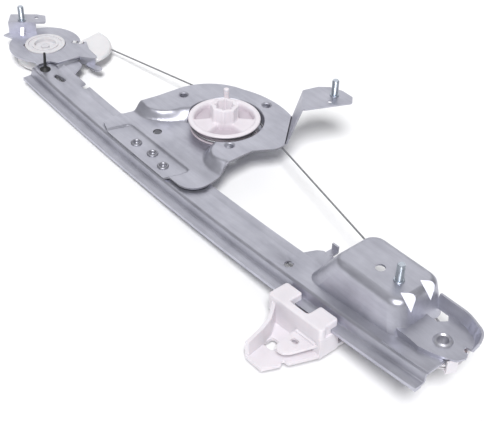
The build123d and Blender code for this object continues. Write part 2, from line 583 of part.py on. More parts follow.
rivet_low = cover_top - COVER_T
eyelet = make_face(Polyline(
    (3.9, 0, rivet_low - 0.4), (3.9, 0, SEAT_Z + 1.0), (5.0, 0, SEAT_Z + 1.9), (6.2, 0, SEAT_Z + 1.2),
    (6.8, 0, SEAT_Z), (RIVET_R, 0, SEAT_Z), (RIVET_R, 0, rivet_low), (7.2, 0, rivet_low),
    (6.6, 0, rivet_low - 1.2), (4.8, 0, rivet_low - 1.5), close=True))
save(Pos(*LOWER, 0) * revolve(eyelet, Axis.Z), "pulley_rivet")

# Cable guide and pulley housing at the upper end, one moulding
FAN = (-190.5, -32.0)
FAN_R = 37.5
HOUSE_R = 27.0
house_floor = UPPER_Z - UPPER_HALF - RUN_GAP
house_low = house_floor - 2.4
house_top = SEAT_Z - SHEET
wedge = patch([FAN, (FAN[0] + 60, FAN[1] - 3), (FAN[0] + 60, FAN[1] + 60), (FAN[0] - 12, FAN[1] + 60)])
fan_plan = (Pos(*FAN) * Circle(FAN_R)) & wedge
house_plan = Pos(*UPPER) * Circle(HOUSE_R)
house = prism(house_plan, house_low, house_top)
fan_body = prism(fan_plan + (house_plan & wedge), house_low, house_top - 0.6)
fan_rim = fan_body.edges().group_by(Axis.Z)[-1].filter_by(GeomType.CIRCLE)
fan_body = round_edges(fan_body, fan_rim, 2.6)
house += fan_body
house -= Pos(*UPPER, house_floor) * Cylinder(HOUSE_R - 2.6, 30, align=(Align.CENTER, Align.CENTER, Align.MIN))
# under the web the wall stops below the rail
house -= arc_slab(-20, CABLE_DROP - 2.4, -186, -140, -100, -52)
house -= arc_slab(-0.3, SHEET + 0.3, -190, -140, -70, -38) & Pos(-160, -50, 0) * Box(60, 40, 60)
house -= Pos(-151.5, -32.5, SEAT_Z - 7.3) * Rot(0, 0, 8) * Box(19, 9, 2.2)
house -= Pos(-160.0, -33.75, SEAT_Z - 4) * Rot(0, 0, flange_dir) * Box(flange_len + 2, SHEET + 0.6, 12)
house -= Pos(*UPPER, 0) * Cylinder(PIN_R + 0.02, 60)
for side in (-1, 1):
    nub = Pos(-188.7, -25.8, 0) * Rot(0, 0, 40) * Pos(3.2 * side, 0, house_top - 4) * Box(
        3.4, 3.4, 6.2, align=(Align.CENTER, Align.CENTER, Align.MIN))
    house += nub

# Cables

upper_cable = tube(Wire([upper_winding.edge(), *upper_path.edges(), upper_arc.edge()]), CABLE_R)
save(upper_cable, "cable_upper")

lower_cable = tube(Wire([lower_winding.edge(), *lower_path.edges(), lower_arc.edge()]), CABLE_R)
save(lower_cable, "cable_lower")

# the guide's throat, cut where the cable runs
house -= tube(upper_path, CABLE_R + CABLE_GAP + 0.9)
house = Part() + house.solids().sort_by(SortBy.VOLUME)[-1]
save(house, "cable_guide")

pin = Pos(0, 0, house_low - 1.2) * Cylinder(6.4, 1.2, align=(Align.CENTER, Align.CENTER, Align.MIN))
pin += Pos(0, 0, house_low) * Cylinder(PIN_R, -1.2 - house_low, align=(Align.CENTER, Align.CENTER, Align.MIN))
save(Pos(*UPPER, 0) * pin, "pulley_pin")

# Rubber end stop, pulled up through the web by its tail
stop_x, stop_y = -169.4, -73.8
stop_z = web_z(stop_x)
stop = Pos(0, 0, 0.02) * Cone(5.0, 1.6, 2.6, align=(Align.CENTER, Align.CENTER, Align.MIN))
stop += Pos(0, 0, 2.2) * Cone(1.5, 1.1, 15.5, align=(Align.CENTER, Align.CENTER, Align.MIN))
stop += Pos(0, 0, -SHEET - 0.2) * Cylinder(2.25, SHEET + 0.4, align=(Align.CENTER, Align.CENTER, Align.MIN))
stop_block = Pos(0, 0, -SHEET - 8.08) * extrude(RectangleRounded(11, 6.4, 2.5), amount=8.0)
stop += stop_block
stop = Pos(stop_x, stop_y, stop_z) * Rot(0, -degrees(asin((stop_x - RAIL_MID_X) / RAIL_R)), 0) * stop
save(stop, "end_stop")

# Carrier, drawn at the middle of the rail and then moved along its arc


def block(x0, x1, y0, y1, z0, z1):
    """A box given from the rail's middle, the riser's root and the lip's top face."""
    return Pos(RAIL_MID_X + (x0 + x1) / 2, ROOT_Y + (y0 + y1) / 2, lip_z + (z0 + z1) / 2) * Box(
        x1 - x0, y1 - y0, z1 - z0)


def plan_piece(points, z0, z1, radius=0.0):
    pts = [(RAIL_MID_X + x, ROOT_Y + y) for x, y in points]
    return prism(patch(pts, radius), lip_z + z0, lip_z + z1)


lip_low = -SHEET - HEM - LIP_GAP
seat_top, seat_low = -16.5, -19.2
cable_line = CABLE_Y - ROOT_Y
core_front, core_back = cable_line - 5.7, cable_line + 5.7
claws = [block(-26.5, -10, -19.5, -1.2, -7.0, 6.0), block(8, 25.5, -19.5, -1.2, -7.0, 6.0)]
bridge = block(-26.5, 27, -19.5, -13.5, -8.0, 6.0)
carrier = bridge + claws
carrier = round_edges(carrier, carrier.edges().filter_by(Axis.Z), 2.2)
carrier = round_edges(carrier, carrier.edges().group_by(Axis.Z)[-1], 1.4)
carrier -= block(-40, 40, -LIP_WIDTH - LIP_GAP, 10, lip_low, LIP_GAP)
carrier -= block(-40, 40, -2.2, 10, -40, lip_low + 0.1)

# the seat below the glass, with the curved side wall of the pocket
seat = plan_piece([(-26.5, core_back + 0.3), (-26.5, -16), (-18, -31), (-12, -54), (-6, -57.5), (10, -57.5), (15.5, -45),
                   (12.5, -40.5), (18, -40), (26, -20), (27, core_back + 0.3)], seat_low, seat_top, 1.2)
seat -= plan_piece([(-8, -41), (2, -41), (2, -31), (-8, -31)], -30, 0, 2.0)
wall_path = [(-26.4, -14), (-18.2, -24), (-12.6, -32), (-9.6, -42), (-7.5, -57.0)]
wall_in = [(x + 2.6, y + 1.2) for x, y in reversed(wall_path)]
side = plan_piece(wall_path + wall_in, seat_low, 2.0)
side_cut = make_face(Polyline((0, -14, 2.1), (0, -20, 1.0), (0, -60, -5.0), (0, -60, 10), (0, -14, 10), close=True))
side -= Pos(RAIL_MID_X - 60, ROOT_Y, lip_z) * extrude(side_cut, amount=120, dir=(1, 0, 0))
front = block(-24, 27, -19.5, -16.5, seat_low, -7.0)
front += block(-24, -21.4, -19.5, -2.4, seat_low, lip_low - 0.2)
front += block(24.4, 27, -19.5, -2.4, seat_low, lip_low - 0.2)
carrier += [seat, side, front]

# the block below the web that takes both cable ends
eye_z = LIP_DROP - CABLE_DROP
core = block(-BLOCK_LENGTH / 2, BLOCK_LENGTH / 2, core_front, core_back, seat_low,
             LIP_DROP - SHEET - RIVET_HEAD - 0.5)
core = round_edges(core, core.edges().filter_by(Axis.X), 1.0)
core -= block(-16, 16, core_front + 2.7, 30, -15, 8)


def along_rail(radius, x0, x1):
    return Pos(RAIL_MID_X + (x0 + x1) / 2, CABLE_Y, lip_z + eye_z) * Rot(0, 90, 0) * Cylinder(radius, x1 - x0)


NIPPLE_R = 2.0
core -= along_rail(CABLE_R + CABLE_GAP + 0.35, -40, 40)
core -= along_rail(NIPPLE_R + 0.05, -22, -16) + along_rail(NIPPLE_R + 0.05, 16, 22)
core -= block(-22, -16, cable_line - NIPPLE_R, cable_line + NIPPLE_R, eye_z, 10)
core -= block(16, 22, cable_line - NIPPLE_R, cable_line + NIPPLE_R, eye_z, 10)
carrier += core
save(on_rail(carrier, CARRIER_X), "carrier")

for name, x0 in (("cable_nipple_upper", -22), ("cable_nipple_lower", 16)):
    nipple = along_rail(NIPPLE_R, x0 + 0.1, x0 + 5.9) - along_rail(CABLE_R + CABLE_GAP, -40, 40)
    save(on_rail(nipple, CARRIER_X), name)

# the clamp leaf that grips the pane against the seat
leaf_low = seat_top + GLASS_GAP
leaf = plan_piece([(3, -16.4), (3, -22), (5, -39), (9, -43), (14, -42), (17.5, -38), (24, -20), (24, -16.4)],
                  leaf_low, leaf_low + 2.2, 0.8)
leaf -= plan_piece([(8, -30), (14, -30), (14, -26), (8, -26)], -30, 0, 0.8)
leaf += block(4, 23, -21.7, -19.6, leaf_low, leaf_low + 3.7)
leaf -= block(-40, 40, -19.6, 0, -40, 20)
save(on_rail(leaf, CARRIER_X), "glass_clamp")
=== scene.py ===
import bpy
import bmesh
import math
from mathutils import Matrix, Vector
from mathutils.geometry import delaunay_2d_cdt


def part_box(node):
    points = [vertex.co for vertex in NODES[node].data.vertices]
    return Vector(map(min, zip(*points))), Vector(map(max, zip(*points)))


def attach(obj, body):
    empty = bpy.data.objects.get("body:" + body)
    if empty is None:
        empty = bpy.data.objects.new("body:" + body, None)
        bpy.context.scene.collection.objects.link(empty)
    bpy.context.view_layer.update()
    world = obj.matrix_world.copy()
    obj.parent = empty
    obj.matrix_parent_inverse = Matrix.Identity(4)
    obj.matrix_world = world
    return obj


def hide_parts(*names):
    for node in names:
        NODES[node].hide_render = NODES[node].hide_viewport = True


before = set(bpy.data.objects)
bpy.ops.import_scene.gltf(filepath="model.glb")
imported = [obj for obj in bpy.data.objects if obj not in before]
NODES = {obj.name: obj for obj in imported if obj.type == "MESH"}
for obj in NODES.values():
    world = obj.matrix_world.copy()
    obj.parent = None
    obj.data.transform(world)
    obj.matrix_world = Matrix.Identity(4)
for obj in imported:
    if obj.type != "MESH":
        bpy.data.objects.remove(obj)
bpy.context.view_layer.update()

MM = 0.001


# Materials

def new_material(name):
    """A node material, with its tree and its shader."""
    mat = bpy.data.materials.new(name)
    mat.use_nodes = True
    tree = mat.node_tree
    shader = next(n for n in tree.nodes if n.type == "BSDF_PRINCIPLED")
    return mat, tree, shader


def add(tree, kind, **inputs):
    """A new node with some of its inputs set."""
    node = tree.nodes.new(kind)
    for key, value in inputs.items():
        node.inputs[key.replace("_", " ")].default_value = value
    return node


def noise(tree, scale, detail=4.0, rough=0.6, stretch=(1, 1, 1)):
    """Noise in object space, stretched along an axis where it should streak. Scale is per metre."""
    coords = tree.nodes.new("ShaderNodeTexCoord")
    mapping = tree.nodes.new("ShaderNodeMapping")
    mapping.inputs["Scale"].default_value = stretch
    tex = add(tree, "ShaderNodeTexNoise", Scale=scale, Detail=detail, Roughness=rough)
    tree.links.new(coords.outputs["Object"], mapping.inputs["Vector"])
    tree.links.new(mapping.outputs["Vector"], tex.inputs["Vector"])
    return tex


def ramp(tree, source, stops):
    """A colour ramp over a texture's value; stops are (position, colour)."""
    node = tree.nodes.new("ShaderNodeValToRGB")
    cr = node.color_ramp
    while len(cr.elements) < len(stops):
        cr.elements.new(0.5)
    for element, (pos, colour) in zip(cr.elements, stops):
        element.position = pos
        element.color = (*colour, 1.0)
    tree.links.new(source, node.inputs["Fac"])
    return node


def vary_roughness(tree, shader, source, low, high):
    """Lets a texture's value set the roughness, between two limits."""
    node = tree.nodes.new("ShaderNodeMapRange")
    node.inputs["To Min"].default_value = low
    node.inputs["To Max"].default_value = high
    tree.links.new(source, node.inputs["Value"])
    tree.links.new(node.outputs["Result"], shader.inputs["Roughness"])


def bump(tree, shader, source, strength, distance):
    """Lets a texture's value raise the surface by a distance in metres."""
    node = add(tree, "ShaderNodeBump", Strength=strength, Distance=distance)
    tree.links.new(source, node.inputs["Height"])
    tree.links.new(node.outputs["Normal"], shader.inputs["Normal"])


def multiplied(tree, factor, a, b):
    """One colour multiplied by another, as far as the factor says."""
    node = tree.nodes.new("ShaderNodeMix")
    node.data_type = "RGBA"
    node.blend_type = "MULTIPLY"
    tree.links.new(a, node.inputs["A"])
    tree.links.new(b, node.inputs["B"])
    node.inputs["Factor"].default_value = factor
    return node.outputs["Result"]


def zinc_sheet():
    """Zinc-plated pressed steel: pale, faintly lavender, cloudy, with drawing streaks along the rail."""
    mat, tree, shader = new_material("zinc_sheet")
    cloud = noise(tree, 38, 5, 0.55)
    streak = noise(tree, 240, 4, 0.65, (0.12, 1, 1))
    grain = noise(tree, 1500, 3, 0.6)
    greys = [(0.3, (0.47, 0.473, 0.538)), (0.52, (0.555, 0.558, 0.625)), (0.75, (0.625, 0.628, 0.70))]
    base = ramp(tree, cloud.outputs["Fac"], greys)
    fine = ramp(tree, streak.outputs["Fac"], [(0.35, (0.86, 0.86, 0.87)), (0.65, (1.0, 1.0, 1.0))])
    streaked = multiplied(tree, 0.75, base.outputs["Color"], fine.outputs["Color"])
    tree.links.new(streaked, shader.inputs["Base Color"])
    shader.inputs["Metallic"].default_value = 0.9
    vary_roughness(tree, shader, cloud.outputs["Fac"], 0.34, 0.50)
    bump(tree, shader, grain.outputs["Fac"], 0.10, 0.0002)
    return mat


def bright_steel(name, colour, rough, metallic=0.85):
    """Turned or upset steel with fine marks."""
    mat, tree, shader = new_material(name)
    marks = noise(tree, 900, 4, 0.6, (1, 1, 0.25))
    dark = tuple(c * 0.8 for c in colour)
    base = ramp(tree, marks.outputs["Fac"], [(0.3, dark), (0.7, colour)])
    tree.links.new(base.outputs["Color"], shader.inputs["Base Color"])
    shader.inputs["Metallic"].default_value = metallic
    vary_roughness(tree, shader, marks.outputs["Fac"], rough - 0.06, rough + 0.08)
    bump(tree, shader, marks.outputs["Fac"], 0.08, 0.0001)
    return mat


def nylon(name, colour, clear=0.0, pockets=None):
    """Natural nylon: milky, with flow marks and a soft sheen. Where pockets gives two heights in metres, it
    is darker from the upper one down to the lower one: painted shade in the moulding's hollows."""
    mat, tree, shader = new_material(name)
    flow = noise(tree, 60, 3, 0.5, (1, 1, 0.5))
    grain = noise(tree, 2200, 2, 0.5)
    shade = tuple(c * 0.93 for c in colour)
    base = ramp(tree, flow.outputs["Fac"], [(0.3, shade), (0.6, colour)])
    colour_out = base.outputs["Color"]
    if pockets:
        # painted shade: the colour darkens low in the moulding, where shade falls in its pockets
        coords = tree.nodes.new("ShaderNodeTexCoord")
        split = tree.nodes.new("ShaderNodeSeparateXYZ")
        tree.links.new(coords.outputs["Object"], split.inputs["Vector"])
        height = tree.nodes.new("ShaderNodeMapRange")
        height.inputs["From Min"].default_value, height.inputs["From Max"].default_value = pockets
        tree.links.new(split.outputs["Z"], height.inputs["Value"])
        low = ramp(tree, height.outputs["Result"], [(0.0, (0.68, 0.64, 0.67)), (1.0, (1.0, 1.0, 1.0))])
        colour_out = multiplied(tree, 1.0, colour_out, low.outputs["Color"])
    tree.links.new(colour_out, shader.inputs["Base Color"])
    shader.inputs["Subsurface Weight"].default_value = 0.15 if pockets else 0.35
    shader.inputs["Subsurface Radius"].default_value = (0.004, 0.0034, 0.0032)
    shader.inputs["Subsurface Scale"].default_value = 1.0
    shader.inputs["Transmission Weight"].default_value = clear
    shader.inputs["IOR"].default_value = 1.5
    vary_roughness(tree, shader, flow.outputs["Fac"], 0.34, 0.48)
    bump(tree, shader, grain.outputs["Fac"], 0.05, 0.0001)
    return mat


def rubber():
    """Matt black rubber."""
    mat, tree, shader = new_material("black_rubber")
    grain = noise(tree, 1200, 4, 0.6)
    base = ramp(tree, grain.outputs["Fac"], [(0.3, (0.008, 0.008, 0.009)), (0.7, (0.02, 0.02, 0.022))])
    tree.links.new(base.outputs["Color"], shader.inputs["Base Color"])
    vary_roughness(tree, shader, grain.outputs["Fac"], 0.45, 0.7)
    bump(tree, shader, grain.outputs["Fac"], 0.15, 0.0001)
    return mat


def white_paper():
    """The white sheet that the part lies on."""
    mat, tree, shader = new_material("floor_paper")
    paper = noise(tree, 30, 4, 0.5)
    tint = ramp(tree, paper.outputs["Fac"], [(0.3, (0.93, 0.93, 0.94)), (0.7, (0.95, 0.95, 0.955))])
    tree.links.new(tint.outputs["Color"], shader.inputs["Base Color"])
    shader.inputs["Roughness"].default_value = 0.9
    return mat


def stranded_cable():
    """Bare wire rope: fine diagonal strands."""
    mat, tree, shader = new_material("wire_rope")
    coords = tree.nodes.new("ShaderNodeTexCoord")
    wave = tree.nodes.new("ShaderNodeTexWave")
    wave.bands_direction = "DIAGONAL"
    wave.inputs["Scale"].default_value = 420
    wave.inputs["Distortion"].default_value = 0.4
    tree.links.new(coords.outputs["Object"], wave.inputs["Vector"])
    base = ramp(tree, wave.outputs["Fac"], [(0.2, (0.20, 0.20, 0.21)), (0.8, (0.50, 0.50, 0.52))])
    tree.links.new(base.outputs["Color"], shader.inputs["Base Color"])
    shader.inputs["Metallic"].default_value = 0.7
    shader.inputs["Roughness"].default_value = 0.42
    bump(tree, shader, wave.outputs["Fac"], 0.5, 0.0002)
    return mat


ZINC = zinc_sheet()
RIVET = bright_steel("rivet_steel", (0.60, 0.60, 0.655), 0.38, 0.75)
STUD = bright_steel("stud_steel", (0.56, 0.61, 0.68), 0.28, 0.9)
NIPPLE = bright_steel("nipple_zinc", (0.5, 0.5, 0.52), 0.45)
NYLON = nylon("white_nylon", (0.78, 0.745, 0.785))
CLEAR = nylon("clear_nylon", (0.92, 0.905, 0.925), 0.22)
WHEEL = nylon("wheel_nylon", (0.80, 0.785, 0.81), 0.15)
# a darker colour for the sheet's rim faces: painted shade for the dark line round its edges
RIM_PAINTED_SHADE = bright_steel("rim_painted_shade", (0.30, 0.30, 0.335), 0.5, 0.7)
PIN = bright_steel("pin_steel", (0.78, 0.77, 0.80), 0.35, 0.5)
CLINCH = bright_steel("clinch_steel", (0.40, 0.40, 0.445), 0.40, 0.85)
# the drum's colour darkens from 2.2 mm down to -2 mm: painted shade in its pockets
DRUM = nylon("drum_nylon", (0.79, 0.745, 0.79), 0.0, (-0.002, 0.0022))
RUBBER = rubber()
ROPE = stranded_cable()

# the nodes that aren't named here are of nylon
LOOKS = {
    "guide_rail": ZINC, "drum_plate": ZINC, "end_stop": RUBBER,
    "clinch_rivet_1": CLINCH, "clinch_rivet_2": CLINCH, "clinch_rivet_3": CLINCH,
    "stud_upper": STUD, "stud_arm": STUD, "stud_lower": STUD,
    "pulley_pin": PIN, "pulley_rivet": RIVET, "upper_pulley": WHEEL, "cable_guide": CLEAR,
    "cable_upper": ROPE, "cable_lower": ROPE,
    "cable_nipple_upper": NIPPLE, "cable_nipple_lower": NIPPLE,
}
for name, obj in NODES.items():
    obj.data.materials.clear()
    obj.data.materials.append(LOOKS.get(name, NYLON))


# Edges and helpers that several pieces use

JOIN = 0.00001                      # corners of a CAD mesh that lie this close are one, in metres
SPECK = 0.0000005                   # and so are those that the rounding of edges leaves this close
EDGE_ANGLE = 35                     # an edge is rounded where its faces turn by more than this
PRESSED_EDGE, MOULDED_EDGE, GUIDE_EDGE = 0.00028, 0.0004, 0.0006


def dull_edges(obj, width, segments=2, clean_up=True):
    """Rounds the crisp edges of a CAD node a little, as pressing and moulding leave them."""
    weld = obj.modifiers.new("weld", "WELD")
    weld.merge_threshold = JOIN
    edges = obj.modifiers.new("edges", "BEVEL")
    edges.width = width
    edges.segments = segments
    edges.limit_method = "ANGLE"
    edges.angle_limit = math.radians(EDGE_ANGLE)
    if clean_up:
        clean = obj.modifiers.new("clean", "WELD")
        clean.merge_threshold = SPECK


# joining the specks that rounding leaves would spoil the rail's shading
dull_edges(NODES["guide_rail"], PRESSED_EDGE, clean_up=False)
for name in ("carrier", "glass_clamp"):
    dull_edges(NODES[name], MOULDED_EDGE)


def link_object(name, data):
    """An object in the scene with a mesh, a light or a camera."""
    obj = bpy.data.objects.new(name, data)
    bpy.context.scene.collection.objects.link(obj)
    return obj


def applied(obj):
    """A new mesh of an object with its modifiers applied."""
    bpy.context.view_layer.update()
    return bpy.data.meshes.new_from_object(obj.evaluated_get(bpy.context.evaluated_depsgraph_get()))


def made_object(name, bm):
    """An object in the scene with the mesh that bm holds."""
    mesh = bpy.data.meshes.new(name)
    bm.to_mesh(mesh)
    bm.free()
    return link_object(name, mesh)


def shade(obj, angle):
    """Smooth shading, but for edges whose faces turn by more than an angle in degrees."""
    obj.data.shade_smooth()
    obj.data.set_sharp_from_angle(angle=math.radians(angle))


def circle(x, y, r, n):
    """Points round a circle."""
    angles = [2 * math.pi * i / n for i in range(n)]
    return [(x + r * math.cos(a), y + r * math.sin(a)) for a in angles]


def wrap(bm, rows, flip=False):
    """Faces between each closed row of corners and the next, the other way out with flip."""
    for a, b in zip(rows, rows[1:]):
        for i in range(len(a)):
            j = (i + 1) % len(a)
            corners = (a[i], b[i], b[j], a[j]) if flip else (a[i], a[j], b[j], b[i])
            bm.faces.new(corners)


def lathe(name, profile, segments):
    """A closed turned shape from (radius, height) points, in metres."""
    bm = bmesh.new()
    rows = [[bm.verts.new((x, y, z)) for x, y in circle(0, 0, r, segments)] for r, z in profile]
    wrap(bm, rows)
    bm.faces.new(list(reversed(rows[0])))
    bm.faces.new(rows[-1])
    return made_object(name, bm)


# Threaded studs, with heights from the top of the sheet that holds them

THREAD_PITCH, THREAD_DEPTH, THREAD_R = 1.0, 0.33, 2.98
THREAD_CORE_R = 2.68                # where the thread runs out at both ends
THREAD_LOW, THREAD_HIGH = 1.0, 14.35
TIP, TIP_R, TIP_SLOPE = 0.8, 2.95, 0.7   # the stud narrows over its last 0.8 mm
FLANGE_R, FLANGE_LOW, SHEET_LOW = 3.6, -2.85, -1.5   # the flange lies under the sheet
NECK_R, COLLAR_R = 2.9, 3.95        # the neck goes through it, and the collar lies on it
STUD_SIDES = 40


def thread_radius(height, turn):
    """Radius of the thread at a height and a share of a turn."""
    tooth = abs((height / THREAD_PITCH - turn) % 1.0 - 0.5) * 2
    r = THREAD_R - THREAD_DEPTH * min(1.0, max(0.0, (tooth - 0.12) / 0.76))
    lead = min(1.0, (height - THREAD_LOW) / 1.2, (THREAD_HIGH - height) / 1.0)
    if lead < 1:
        r = THREAD_CORE_R + (r - THREAD_CORE_R) * max(0.0, lead)
    past = height - (THREAD_HIGH - TIP)
    if past > 0:
        r = min(r, TIP_R - past * TIP_SLOPE)
    return r


def threaded_stud(node, base, body):
    """An M6 weld stud with a real rolled thread, in place of the plain CAD one."""
    x, y, z = base
    foot = [(FLANGE_R, FLANGE_LOW), (FLANGE_R, SHEET_LOW), (NECK_R, SHEET_LOW), (NECK_R, 0.02),
            (COLLAR_R, 0.02), (COLLAR_R, 0.8), (3.7, 1.0), (2.72, 1.0)]
    rings = [[point] * STUD_SIDES for point in foot]
    step = THREAD_PITCH / 10
    for k in range(int((THREAD_HIGH - THREAD_LOW) / step) + 1):
        height = THREAD_LOW + k * step
        rings.append([(thread_radius(height, i / STUD_SIDES), height) for i in range(STUD_SIDES)])
    bm = bmesh.new()
    rows = []
    for ring in rings:
        row = []
        for i, (r, height) in enumerate(ring):
            angle = 2 * math.pi * i / STUD_SIDES
            corner = (x + r * math.cos(angle), y + r * math.sin(angle), z + height)
            row.append(bm.verts.new([MM * c for c in corner]))
        rows.append(row)
    wrap(bm, rows)
    bm.faces.new(list(reversed(rows[0])))
    bm.faces.new(rows[-1])
    obj = made_object(node + "_thread", bm)
    shade(obj, 50)
    obj.data.materials.append(STUD)
    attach(obj, body)
    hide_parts(node)


threaded_stud("stud_upper", (-241.6, -54.4, 11.0), "frame")
threaded_stud("stud_arm", (61.2, 68.3, 28.0), "frame")
threaded_stud("stud_lower", (244.7, -50.1, 18.0), "frame")


# Drum plate, one pressed sheet

SHEET = 1.5                         # its thickness; all sizes here are in millimetres
WEB_CENTRE = (61.5, 2353.5)         # x and z of the centre of the arc that the rail's web follows
WEB_R = 2368.0
CUP_R, CUP_DEPTH, CUP_LEAN = 32.3, 8.5, 2.1
CUP_SIDE_R = 31.9                   # past this radius the sheet is the cup's side, and no more its floor
SPIGOT_R = 8.06                     # hole in the cup's floor for the drum's spigot
MOTOR_HOLES = ((-52.7, -3.4), (5.4, 43.4), (33.0, -21.4))
MOTOR_R = 3.4
MOTOR_SEAT_W, MOTOR_SEAT_DROP = 2.0, 1.0   # the sheet dips round each motor hole
COLLAR_STEPS = (1.0, 3.6)           # and is then drawn down to a collar in two steps
CLINCHES = ((-30.5, -70.5), (-10.3, -68.6), (8.7, -71.9))
CLINCH_HOLE_R = 2.6
DRAIN = (-29.9, -48.9, 3.9)         # x, y and radius
HOLES = [(0, 0, SPIGOT_R), DRAIN, *((x, y, MOTOR_R) for x, y in MOTOR_HOLES),
         *((x, y, CLINCH_HOLE_R) for x, y in CLINCHES)]
# two windows in the cup's wall: a heading in degrees, then limits along it, across it and in height
WINDOWS = ((9.73, -47, -13, 21.5, 30.5, -6.8, -1.6), (-13.5, 13, 47, 22.5, 31.5, -7.7, -3.1))


def arc_through(a, b, c, n=14):
    """Points on the circle through three points, from the first to the last."""
    (ax, ay), (bx, by), (cx, cy) = a, b, c
    d = 2 * (ax * (by - cy) + bx * (cy - ay) + cx * (ay - by))
    aa, bb, cc = ax * ax + ay * ay, bx * bx + by * by, cx * cx + cy * cy
    ux = (aa * (by - cy) + bb * (cy - ay) + cc * (ay - by)) / d
    uy = (aa * (cx - bx) + bb * (ax - cx) + cc * (bx - ax)) / d
    r = math.hypot(ax - ux, ay - uy)
    t0, t1, t2 = (math.atan2(y - uy, x - ux) for x, y in (a, b, c))
    turn = (t2 - t0) % (2 * math.pi)
    if (t1 - t0) % (2 * math.pi) > turn:
        turn -= 2 * math.pi
    angles = [t0 + turn * i / n for i in range(n + 1)]
    return [(ux + r * math.cos(t), uy + r * math.sin(t)) for t in angles]


PLATE_OUTLINE = [
    (-70.5, -76.5), (-57.5, -81), (22.5, -81.5), (26.5, -78.5),
    *arc_through((38.5, -78.5), (49, -73), (53, -60)), (53, -50), (50.5, -42), (50.5, -12),
    *arc_through((58, 1), (61, 9), (59.6, 16.5)), *arc_through((32.4, 48.4), (2, 51.6), (-27, 44)),
    *arc_through((-27, 44), (-53, 26.8), (-63.6, 1))[1:], (-65.2, -22), (-69, -46.7), (-73.5, -66)]
# where the wall round the lower level starts at the top, and where it ends at the foot
SHOULDER = [(-110, -38), (-66, -38), (-53, -41.5), (-42, -36.5), (-38, -27), (-38.5, -17), (-30, -3),
            (16, -8), (21.5, -23), (24, -31), (29, -38.5), (37.5, -42), (45, -39), (52, -33), (110, -30),
            (110, -120), (-110, -120)]
FOOT = [(-110, -46), (-68, -46), (-56.5, -47), (-45.5, -40), (-36, -31), (-27, -22), (12, -24), (16.4, -34),
        (21, -40), (27.5, -45), (37, -47.5), (46.5, -47), (110, -46), (110, -119), (-110, -119)]
# the strip that lies on the rail's web
PAD = [(-62, -100), (-58.6, -78), (-53.5, -60.6), (28.3, -60.6), (25.5, -72.3), (22.8, -79), (20, -100)]


def round_corners(points, radius, steps=5):
    """Rounds the corners of a closed outline."""
    out = []
    for before, (x, y), after in zip(points[-1:] + points[:-1], points, points[1:] + points[:1]):
        reach_a = min(radius / math.dist(before, (x, y)), 0.48)
        reach_b = min(radius / math.dist(after, (x, y)), 0.48)
        ax, ay = x + (before[0] - x) * reach_a, y + (before[1] - y) * reach_a
        bx, by = x + (after[0] - x) * reach_b, y + (after[1] - y) * reach_b
        for i in range(steps + 1):
            t = i / steps
            out.append(((1 - t) ** 2 * ax + 2 * t * (1 - t) * x + t * t * bx,
                        (1 - t) ** 2 * ay + 2 * t * (1 - t) * y + t * t * by))
    return out


def inside(x, y, outline):
    """Whether a point lies in a closed outline."""
    found = False
    for (ax, ay), (bx, by) in zip(outline, outline[1:] + outline[:1]):
        if (ay > y) != (by > y) and x < (bx - ax) * (y - ay) / (by - ay) + ax:
            found = not found
    return found


def depth_in(x, y, outline):
    """Distance from a point to an outline, positive inside it."""
    best = 1e9
    for (ax, ay), (bx, by) in zip(outline, outline[1:] + outline[:1]):
        dx, dy = bx - ax, by - ay
        t = max(0.0, min(1.0, ((x - ax) * dx + (y - ay) * dy) / (dx * dx + dy * dy)))
        best = min(best, (x - ax - t * dx) ** 2 + (y - ay - t * dy) ** 2)
    return math.sqrt(best) if inside(x, y, outline) else -math.sqrt(best)


def smooth(t):
    """Rises from 0 to 1 with level ends, and stays there outside them."""
    t = max(0.0, min(1.0, t))
    return t * t * (3 - 2 * t)


def soft_min(a, b, k):
    """The lower of two heights, with the corner rounded where they are closer than k."""
    h = max(k - abs(a - b), 0.0) / k
    return min(a, b) - h * h * k / 4


SHOULDER = round_corners(SHOULDER, 11)
FOOT = round_corners(FOOT, 11)
PAD = round_corners(PAD, 3.5)
BACK_Y, STRIP_W, STRIP_RISE = -58.4, 6.6, 1.2   # the web's back edge and the strip that rises to it
AIR, PAD_AIR = 0.02, 0.006          # between the sheet and the web: beside the pad and on it
FALL_FROM_Y, FALL_W = -45.5, 15     # where the lower level starts to fall towards the rail, and how wide


def web_mid(x):
    """Top of the rail's web along its middle."""
    return WEB_CENTRE[1] - math.sqrt(WEB_R ** 2 - (x - WEB_CENTRE[0]) ** 2)


def web_top(x, y):
    """Top of the rail's web, with its tilted strip along the back edge."""
    return web_mid(x) + STRIP_RISE * max(0.0, min(1.0, (y - BACK_Y + STRIP_W) / STRIP_W))


def plate_top(x, y):
    """Height of the plate's top face."""
    foot, shoulder = depth_in(x, y, FOOT), depth_in(x, y, SHOULDER)
    fall = 0.2 + 2.1 * smooth((x + 60) / 90)
    floor = -CUP_DEPTH - fall * smooth((FALL_FROM_Y - y) / FALL_W)
    if y < BACK_Y + 2.5:
        floor = max(floor, web_top(x, y) + SHEET + AIR)
    on_pad = depth_in(x, y, PAD)
    if on_pad > -1.6:
        low = web_top(x, y) + SHEET + PAD_AIR
        floor += (low - floor) * smooth((on_pad + 1.5) / 1.5)
    if shoulder <= 0:
        dish = 0.0
    elif foot >= 0:
        dish = floor
    else:
        dish = floor * smooth(shoulder / (shoulder - foot))
    r = math.hypot(x, y)
    cup = -CUP_DEPTH * (1 - smooth((r - CUP_R + 0.1) / (CUP_LEAN + 0.2)))
    if cup > -0.001 and r > CUP_R:
        z = dish
    elif dish > -CUP_DEPTH + 0.3:
        z = soft_min(dish, cup, 0.5)
    else:
        z = min(dish, cup)
    for hx, hy in MOTOR_HOLES:
        off = math.hypot(x - hx, y - hy) - MOTOR_R
        z -= MOTOR_SEAT_DROP * (1 - smooth(off / MOTOR_SEAT_W)) ** 2
    return z


